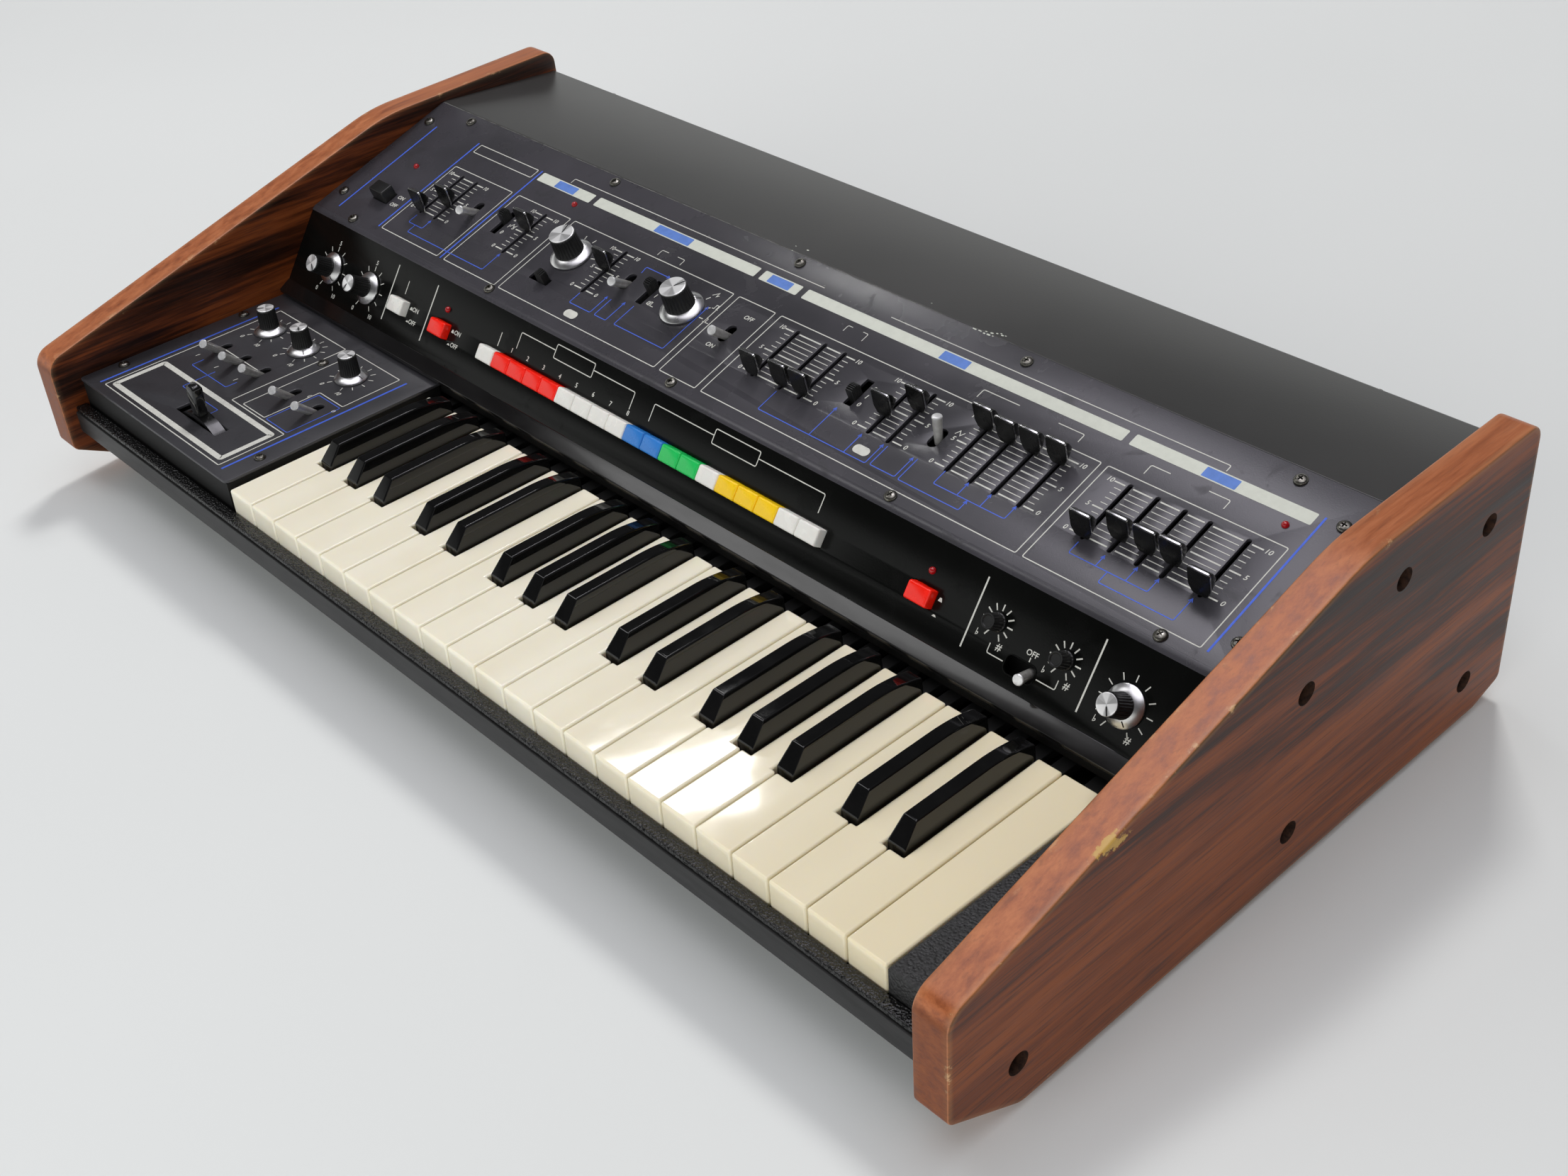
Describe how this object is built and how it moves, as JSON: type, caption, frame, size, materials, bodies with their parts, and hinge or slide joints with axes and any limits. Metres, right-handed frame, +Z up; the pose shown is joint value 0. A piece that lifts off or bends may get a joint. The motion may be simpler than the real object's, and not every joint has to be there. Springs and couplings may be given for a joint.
{
  "type": "analog synthesizer",
  "caption": "Tabletop analog synthesizer: hinged piano keys in front of sloping panels with knobs, sliders and buttons, between veneered wooden cheeks.",
  "frame": {"origin": "on the surface it stands on, under the middle of the case", "axes": "+X along the keyboard towards the high keys, +Y from the player to the back, +Z up"},
  "size_m": [0.7658, 0.4116, 0.1669],
  "materials": {
    "cheek_veneer": "satin rosewood veneer",
    "case_paint": "satin black",
    "panel_paint": "dark blue-grey satin with white and blue printing",
    "cover_paint": "fine textured dark grey",
    "leatherette": "grained black covering",
    "frame_steel": "zinc plated",
    "ivory_plastic": "glossy cream",
    "ebony_plastic": "glossy black",
    "knob_plastic": "black with a silver skirt and spun metal cap",
    "black_plastic": "satin black",
    "red_plastic": "glossy red",
    "white_plastic": "glossy white"
  },
  "bodies": {
    "case": {"left_cheek": "cheek_veneer", "right_cheek": "cheek_veneer", "bottom_pan": "case_paint", "front_rail": "leatherette", "bender_panel": "panel_paint", "key_block": "leatherette", "key_frame": "frame_steel", "switch_panel": "case_paint", "control_panel": "panel_paint", "top_cover": "cover_paint"},
    "bender_lever": {"bender_lever": "black_plastic"},
    "black_key_01": {"black_key_01": "ebony_plastic"},
    "black_key_02": {"black_key_02": "ebony_plastic"},
    "black_key_03": {"black_key_03": "ebony_plastic"},
    "black_key_04": {"black_key_04": "ebony_plastic"},
    "black_key_05": {"black_key_05": "ebony_plastic"},
    "black_key_06": {"black_key_06": "ebony_plastic"},
    "black_key_07": {"black_key_07": "ebony_plastic"},
    "black_key_08": {"black_key_08": "ebony_plastic"},
    "black_key_09": {"black_key_09": "ebony_plastic"},
    "black_key_10": {"black_key_10": "ebony_plastic"},
    "black_key_11": {"black_key_11": "ebony_plastic"},
    "black_key_12": {"black_key_12": "ebony_plastic"},
    "black_key_13": {"black_key_13": "ebony_plastic"},
    "black_key_14": {"black_key_14": "ebony_plastic"},
    "black_key_15": {"black_key_15": "ebony_plastic"},
    "brilliance_knob": {"brilliance_knob": "knob_plastic"},
    "cutoff_slider": {"cutoff_slider": "black_plastic"},
    "hold_button": {"hold_button": "white_plastic"},
    "level_slider": {"level_slider": "black_plastic"},
    "master_tuning_knob": {"master_tuning_knob": "knob_plastic"},
    "memory_write_button": {"memory_write_button": "red_plastic"},
    "power_button": {"power_button": "black_plastic"},
    "protection_button": {"protection_button": "red_plastic"},
    "range_knob": {"range_knob": "knob_plastic"},
    "resonance_slider": {"resonance_slider": "black_plastic"},
    "volume_knob": {"volume_knob": "knob_plastic"},
    "waveform_knob": {"waveform_knob": "knob_plastic"},
    "white_key_01": {"white_key_01": "ivory_plastic"},
    "white_key_02": {"white_key_02": "ivory_plastic"},
    "white_key_03": {"white_key_03": "ivory_plastic"},
    "white_key_04": {"white_key_04": "ivory_plastic"},
    "white_key_05": {"white_key_05": "ivory_plastic"},
    "white_key_06": {"white_key_06": "ivory_plastic"},
    "white_key_07": {"white_key_07": "ivory_plastic"},
    "white_key_08": {"white_key_08": "ivory_plastic"},
    "white_key_09": {"white_key_09": "ivory_plastic"},
    "white_key_10": {"white_key_10": "ivory_plastic"},
    "white_key_11": {"white_key_11": "ivory_plastic"},
    "white_key_12": {"white_key_12": "ivory_plastic"},
    "white_key_13": {"white_key_13": "ivory_plastic"},
    "white_key_14": {"white_key_14": "ivory_plastic"},
    "white_key_15": {"white_key_15": "ivory_plastic"},
    "white_key_16": {"white_key_16": "ivory_plastic"},
    "white_key_17": {"white_key_17": "ivory_plastic"},
    "white_key_18": {"white_key_18": "ivory_plastic"},
    "white_key_19": {"white_key_19": "ivory_plastic"},
    "white_key_20": {"white_key_20": "ivory_plastic"},
    "white_key_21": {"white_key_21": "ivory_plastic"},
    "white_key_22": {"white_key_22": "ivory_plastic"}
  },
  "joints": [
    {"name": "bender_lever_joint", "type": "hinge", "parent": "case", "child": "bender_lever", "pos_m": [-0.2592, -0.16218, 0.043], "axis": [0, 1, 0], "range_deg": [-30, 30], "stiffness_Nm_per_rad": 0.05},
    {"name": "black_key_01_joint", "type": "hinge", "parent": "case", "child": "black_key_01", "pos_m": [-0.1631, 0.02611, 0.055], "axis": [1, 0, 0], "range_deg": [0, 2.6], "stiffness_Nm_per_rad": 0.6, "springref_deg": -14.32},
    {"name": "black_key_02_joint", "type": "hinge", "parent": "case", "child": "black_key_02", "pos_m": [-0.1361, 0.02611, 0.055], "axis": [1, 0, 0], "range_deg": [0, 2.6], "stiffness_Nm_per_rad": 0.6, "springref_deg": -14.32},
    {"name": "black_key_03_joint", "type": "hinge", "parent": "case", "child": "black_key_03", "pos_m": [-0.1093, 0.02611, 0.055], "axis": [1, 0, 0], "range_deg": [0, 2.6], "stiffness_Nm_per_rad": 0.6, "springref_deg": -14.32},
    {"name": "black_key_04_joint", "type": "hinge", "parent": "case", "child": "black_key_04", "pos_m": [-0.0682, 0.02611, 0.055], "axis": [1, 0, 0], "range_deg": [0, 2.6], "stiffness_Nm_per_rad": 0.6, "springref_deg": -14.32},
    {"name": "black_key_05_joint", "type": "hinge", "parent": "case", "child": "black_key_05", "pos_m": [-0.0397, 0.02611, 0.055], "axis": [1, 0, 0], "range_deg": [0, 2.6], "stiffness_Nm_per_rad": 0.6, "springref_deg": -14.32},
    {"name": "black_key_06_joint", "type": "hinge", "parent": "case", "child": "black_key_06", "pos_m": [0.0014, 0.02611, 0.055], "axis": [1, 0, 0], "range_deg": [0, 2.6], "stiffness_Nm_per_rad": 0.6, "springref_deg": -14.32},
    {"name": "black_key_07_joint", "type": "hinge", "parent": "case", "child": "black_key_07", "pos_m": [0.0284, 0.02611, 0.055], "axis": [1, 0, 0], "range_deg": [0, 2.6], "stiffness_Nm_per_rad": 0.6, "springref_deg": -14.32},
    {"name": "black_key_08_joint", "type": "hinge", "parent": "case", "child": "black_key_08", "pos_m": [0.0552, 0.02611, 0.055], "axis": [1, 0, 0], "range_deg": [0, 2.6], "stiffness_Nm_per_rad": 0.6, "springref_deg": -14.32},
    {"name": "black_key_09_joint", "type": "hinge", "parent": "case", "child": "black_key_09", "pos_m": [0.0963, 0.02611, 0.055], "axis": [1, 0, 0], "range_deg": [0, 2.6], "stiffness_Nm_per_rad": 0.6, "springref_deg": -14.32},
    {"name": "black_key_10_joint", "type": "hinge", "parent": "case", "child": "black_key_10", "pos_m": [0.1248, 0.02611, 0.055], "axis": [1, 0, 0], "range_deg": [0, 2.6], "stiffness_Nm_per_rad": 0.6, "springref_deg": -14.32},
    {"name": "black_key_11_joint", "type": "hinge", "parent": "case", "child": "black_key_11", "pos_m": [0.1659, 0.02611, 0.055], "axis": [1, 0, 0], "range_deg": [0, 2.6], "stiffness_Nm_per_rad": 0.6, "springref_deg": -14.32},
    {"name": "black_key_12_joint", "type": "hinge", "parent": "case", "child": "black_key_12", "pos_m": [0.1929, 0.02611, 0.055], "axis": [1, 0, 0], "range_deg": [0, 2.6], "stiffness_Nm_per_rad": 0.6, "springref_deg": -14.32},
    {"name": "black_key_13_joint", "type": "hinge", "parent": "case", "child": "black_key_13", "pos_m": [0.2197, 0.02611, 0.055], "axis": [1, 0, 0], "range_deg": [0, 2.6], "stiffness_Nm_per_rad": 0.6, "springref_deg": -14.32},
    {"name": "black_key_14_joint", "type": "hinge", "parent": "case", "child": "black_key_14", "pos_m": [0.2608, 0.02611, 0.055], "axis": [1, 0, 0], "range_deg": [0, 2.6], "stiffness_Nm_per_rad": 0.6, "springref_deg": -14.32},
    {"name": "black_key_15_joint", "type": "hinge", "parent": "case", "child": "black_key_15", "pos_m": [0.2893, 0.02611, 0.055], "axis": [1, 0, 0], "range_deg": [0, 2.6], "stiffness_Nm_per_rad": 0.6, "springref_deg": -14.32},
    {"name": "brilliance_knob_joint", "type": "hinge", "parent": "case", "child": "brilliance_knob", "pos_m": [-0.2798, -0.02557, 0.09805], "axis": [0, -0.8221, 0.5693], "range_deg": [-300, 0]},
    {"name": "cutoff_slider_joint", "type": "slide", "parent": "case", "child": "cutoff_slider", "axis": [0, 0.9498, 0.3128], "range_m": [-0.0019, 0.0314]},
    {"name": "hold_button_joint", "type": "slide", "parent": "case", "child": "hold_button", "axis": [0, 0.8221, -0.5693], "range_m": [0, 0.003], "stiffness_N_per_m": 300, "springref_m": -0.002},
    {"name": "level_slider_joint", "type": "slide", "parent": "case", "child": "level_slider", "axis": [0, 0.9498, 0.3128], "range_m": [-0.0004, 0.0329]},
    {"name": "master_tuning_knob_joint", "type": "hinge", "parent": "case", "child": "master_tuning_knob", "pos_m": [0.322, -0.02557, 0.09805], "axis": [0, -0.8221, 0.5693], "range_deg": [0, 300]},
    {"name": "memory_write_button_joint", "type": "slide", "parent": "case", "child": "memory_write_button", "axis": [0, 0.8221, -0.5693], "range_m": [0, 0.003], "stiffness_N_per_m": 300, "springref_m": -0.002},
    {"name": "power_button_joint", "type": "slide", "parent": "case", "child": "power_button", "axis": [0, 0.3128, -0.9498], "range_m": [0, 0.003], "stiffness_N_per_m": 300, "springref_m": -0.002},
    {"name": "protection_button_joint", "type": "slide", "parent": "case", "child": "protection_button", "axis": [0, 0.8221, -0.5693], "range_m": [0, 0.003], "stiffness_N_per_m": 300, "springref_m": -0.002},
    {"name": "range_knob_joint", "type": "hinge", "parent": "case", "child": "range_knob", "pos_m": [-0.1476, 0.03975, 0.13892], "axis": [0, -0.3128, 0.9498], "range_deg": [-90, 60]},
    {"name": "resonance_slider_joint", "type": "slide", "parent": "case", "child": "resonance_slider", "axis": [0, 0.9498, 0.3128], "range_m": [-0.0024, 0.0309]},
    {"name": "volume_knob_joint", "type": "hinge", "parent": "case", "child": "volume_knob", "pos_m": [-0.3221, -0.02557, 0.09805], "axis": [0, -0.8221, 0.5693], "range_deg": [0, 300]},
    {"name": "waveform_knob_joint", "type": "hinge", "parent": "case", "child": "waveform_knob", "pos_m": [-0.0465, 0.03928, 0.13876], "axis": [0, -0.3128, 0.9498], "range_deg": [-60, 0]},
    {"name": "white_key_01_joint", "type": "hinge", "parent": "case", "child": "white_key_01", "pos_m": [-0.17135, 0.02611, 0.055], "axis": [1, 0, 0], "range_deg": [0, 2.6], "stiffness_Nm_per_rad": 0.6, "springref_deg": -14.32},
    {"name": "white_key_02_joint", "type": "hinge", "parent": "case", "child": "white_key_02", "pos_m": [-0.14785, 0.02611, 0.055], "axis": [1, 0, 0], "range_deg": [0, 2.6], "stiffness_Nm_per_rad": 0.6, "springref_deg": -14.32},
    {"name": "white_key_03_joint", "type": "hinge", "parent": "case", "child": "white_key_03", "pos_m": [-0.12435, 0.02611, 0.055], "axis": [1, 0, 0], "range_deg": [0, 2.6], "stiffness_Nm_per_rad": 0.6, "springref_deg": -14.32},
    {"name": "white_key_04_joint", "type": "hinge", "parent": "case", "child": "white_key_04", "pos_m": [-0.10085, 0.02611, 0.055], "axis": [1, 0, 0], "range_deg": [0, 2.6], "stiffness_Nm_per_rad": 0.6, "springref_deg": -14.32},
    {"name": "white_key_05_joint", "type": "hinge", "parent": "case", "child": "white_key_05", "pos_m": [-0.07735, 0.02611, 0.055], "axis": [1, 0, 0], "range_deg": [0, 2.6], "stiffness_Nm_per_rad": 0.6, "springref_deg": -14.32},
    {"name": "white_key_06_joint", "type": "hinge", "parent": "case", "child": "white_key_06", "pos_m": [-0.05385, 0.02611, 0.055], "axis": [1, 0, 0], "range_deg": [0, 2.6], "stiffness_Nm_per_rad": 0.6, "springref_deg": -14.32},
    {"name": "white_key_07_joint", "type": "hinge", "parent": "case", "child": "white_key_07", "pos_m": [-0.03035, 0.02611, 0.055], "axis": [1, 0, 0], "range_deg": [0, 2.6], "stiffness_Nm_per_rad": 0.6, "springref_deg": -14.32},
    {"name": "white_key_08_joint", "type": "hinge", "parent": "case", "child": "white_key_08", "pos_m": [-0.00685, 0.02611, 0.055], "axis": [1, 0, 0], "range_deg": [0, 2.6], "stiffness_Nm_per_rad": 0.6, "springref_deg": -14.32},
    {"name": "white_key_09_joint", "type": "hinge", "parent": "case", "child": "white_key_09", "pos_m": [0.01665, 0.02611, 0.055], "axis": [1, 0, 0], "range_deg": [0, 2.6], "stiffness_Nm_per_rad": 0.6, "springref_deg": -14.32},
    {"name": "white_key_10_joint", "type": "hinge", "parent": "case", "child": "white_key_10", "pos_m": [0.04015, 0.02611, 0.055], "axis": [1, 0, 0], "range_deg": [0, 2.6], "stiffness_Nm_per_rad": 0.6, "springref_deg": -14.32},
    {"name": "white_key_11_joint", "type": "hinge", "parent": "case", "child": "white_key_11", "pos_m": [0.06365, 0.02611, 0.055], "axis": [1, 0, 0], "range_deg": [0, 2.6], "stiffness_Nm_per_rad": 0.6, "springref_deg": -14.32},
    {"name": "white_key_12_joint", "type": "hinge", "parent": "case", "child": "white_key_12", "pos_m": [0.08715, 0.02611, 0.055], "axis": [1, 0, 0], "range_deg": [0, 2.6], "stiffness_Nm_per_rad": 0.6, "springref_deg": -14.32},
    {"name": "white_key_13_joint", "type": "hinge", "parent": "case", "child": "white_key_13", "pos_m": [0.11065, 0.02611, 0.055], "axis": [1, 0, 0], "range_deg": [0, 2.6], "stiffness_Nm_per_rad": 0.6, "springref_deg": -14.32},
    {"name": "white_key_14_joint", "type": "hinge", "parent": "case", "child": "white_key_14", "pos_m": [0.13415, 0.02611, 0.055], "axis": [1, 0, 0], "range_deg": [0, 2.6], "stiffness_Nm_per_rad": 0.6, "springref_deg": -14.32},
    {"name": "white_key_15_joint", "type": "hinge", "parent": "case", "child": "white_key_15", "pos_m": [0.15765, 0.02611, 0.055], "axis": [1, 0, 0], "range_deg": [0, 2.6], "stiffness_Nm_per_rad": 0.6, "springref_deg": -14.32},
    {"name": "white_key_16_joint", "type": "hinge", "parent": "case", "child": "white_key_16", "pos_m": [0.18115, 0.02611, 0.055], "axis": [1, 0, 0], "range_deg": [0, 2.6], "stiffness_Nm_per_rad": 0.6, "springref_deg": -14.32},
    {"name": "white_key_17_joint", "type": "hinge", "parent": "case", "child": "white_key_17", "pos_m": [0.20465, 0.02611, 0.055], "axis": [1, 0, 0], "range_deg": [0, 2.6], "stiffness_Nm_per_rad": 0.6, "springref_deg": -14.32},
    {"name": "white_key_18_joint", "type": "hinge", "parent": "case", "child": "white_key_18", "pos_m": [0.22815, 0.02611, 0.055], "axis": [1, 0, 0], "range_deg": [0, 2.6], "stiffness_Nm_per_rad": 0.6, "springref_deg": -14.32},
    {"name": "white_key_19_joint", "type": "hinge", "parent": "case", "child": "white_key_19", "pos_m": [0.25165, 0.02611, 0.055], "axis": [1, 0, 0], "range_deg": [0, 2.6], "stiffness_Nm_per_rad": 0.6, "springref_deg": -14.32},
    {"name": "white_key_20_joint", "type": "hinge", "parent": "case", "child": "white_key_20", "pos_m": [0.27515, 0.02611, 0.055], "axis": [1, 0, 0], "range_deg": [0, 2.6], "stiffness_Nm_per_rad": 0.6, "springref_deg": -14.32},
    {"name": "white_key_21_joint", "type": "hinge", "parent": "case", "child": "white_key_21", "pos_m": [0.29865, 0.02611, 0.055], "axis": [1, 0, 0], "range_deg": [0, 2.6], "stiffness_Nm_per_rad": 0.6, "springref_deg": -14.32},
    {"name": "white_key_22_joint", "type": "hinge", "parent": "case", "child": "white_key_22", "pos_m": [0.32215, 0.02611, 0.055], "axis": [1, 0, 0], "range_deg": [0, 2.6], "stiffness_Nm_per_rad": 0.6, "springref_deg": -14.32}
  ]
}
